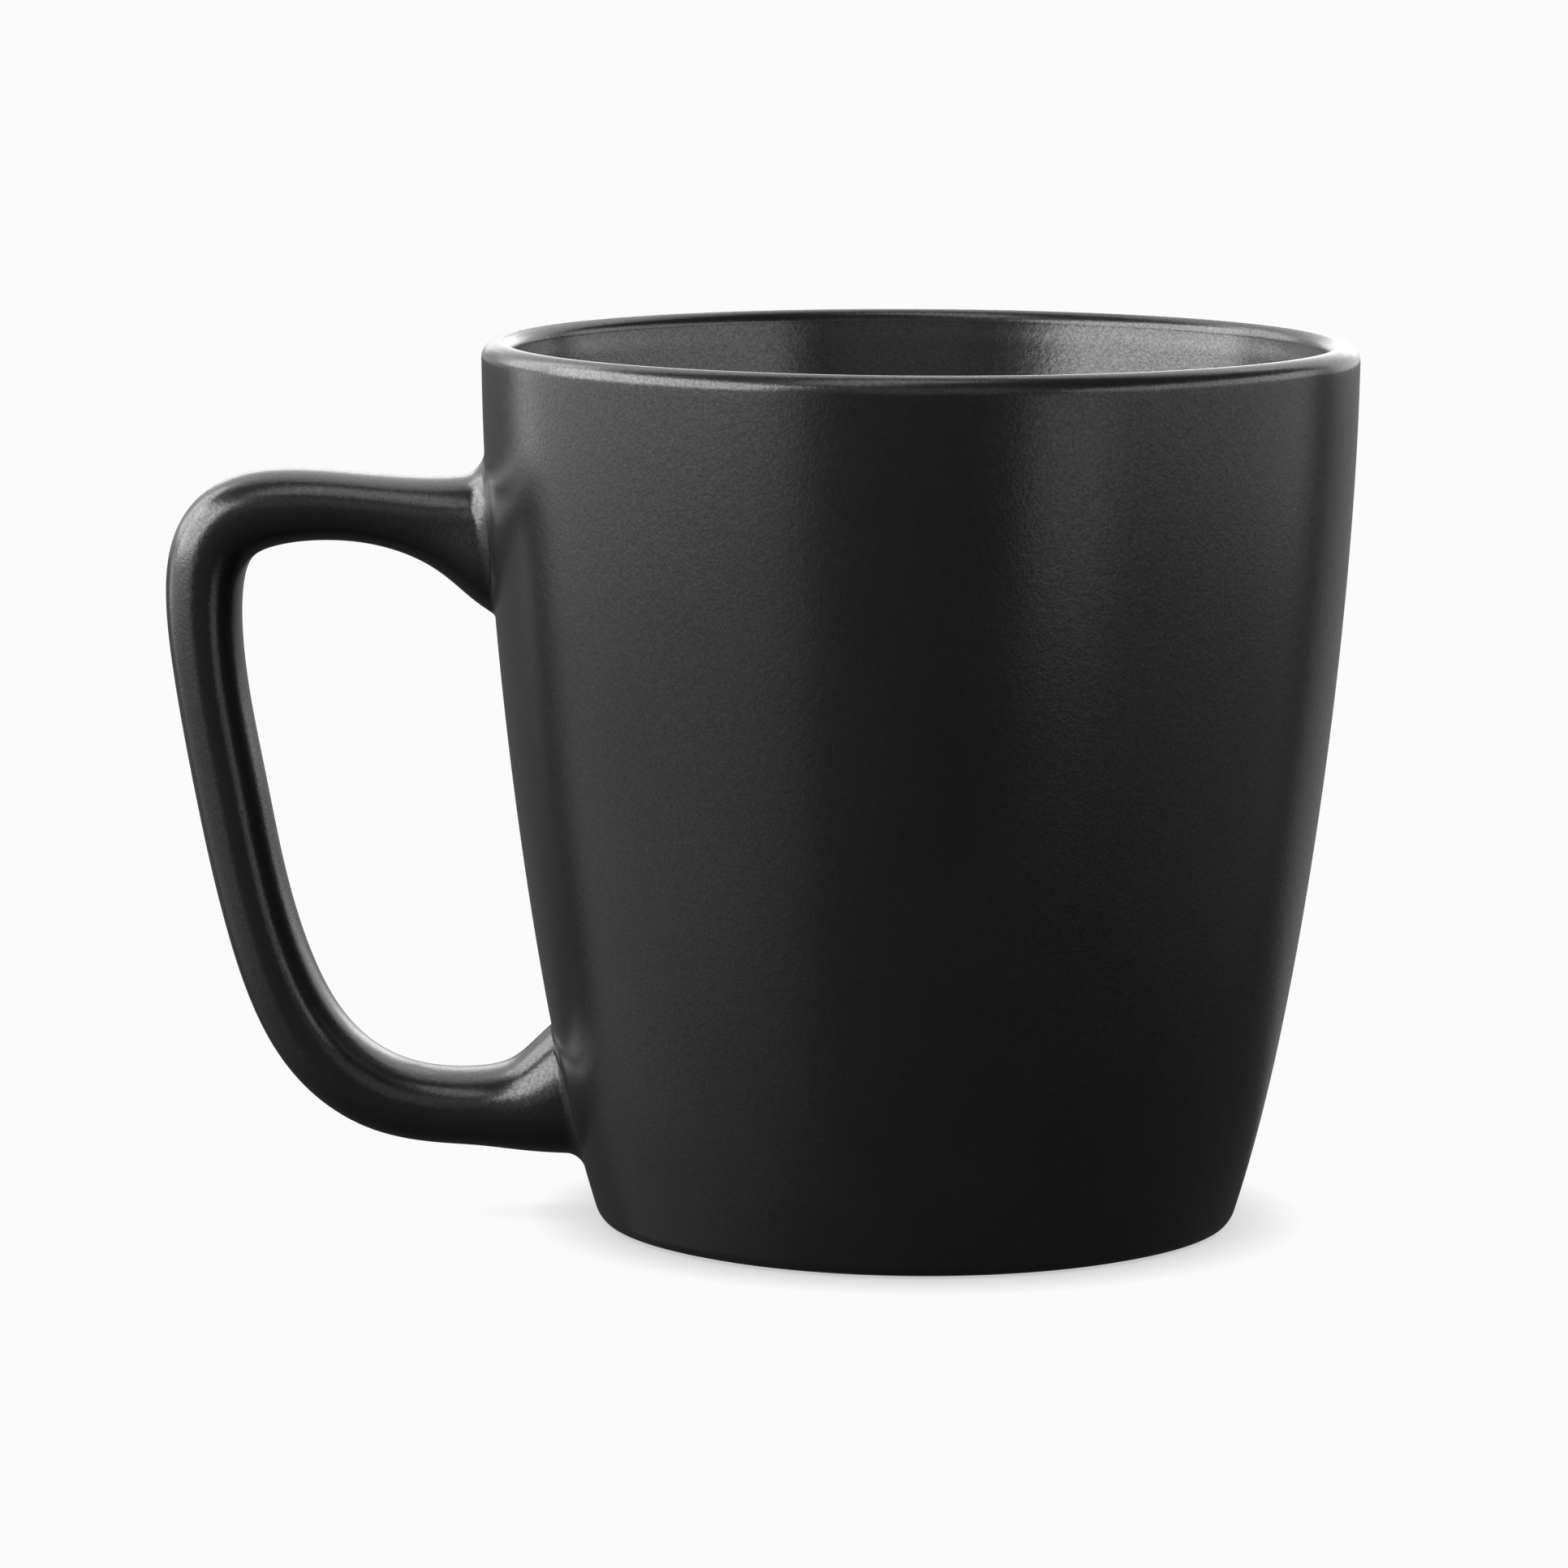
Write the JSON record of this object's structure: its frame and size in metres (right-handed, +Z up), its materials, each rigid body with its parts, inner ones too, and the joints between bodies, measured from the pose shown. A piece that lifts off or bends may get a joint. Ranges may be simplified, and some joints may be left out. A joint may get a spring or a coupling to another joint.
{
  "type": "mug",
  "caption": "Stoneware mug with a drawn-in round side, a squared loop handle on one side, satin black glaze and a bare foot ring.",
  "frame": {"origin": "centre of the foot ring's resting plane, on the cup's axis", "axes": "+Z up along the cup's axis, -X towards the handle, +Y away from the viewer who has the handle on the left"},
  "size_m": [0.1336, 0.098, 0.0994],
  "materials": {
    "stoneware": "matte",
    "slip": "matte",
    "black_glaze": "satin"
  },
  "bodies": {
    "root": {"cup_body": "stoneware", "handle": "stoneware", "upper_slip_joint": "slip", "lower_slip_joint": "slip", "outer_glaze": "black_glaze", "liner_glaze": "black_glaze", "handle_glaze": "black_glaze", "base_glaze": "black_glaze"}
  },
  "joints": []
}
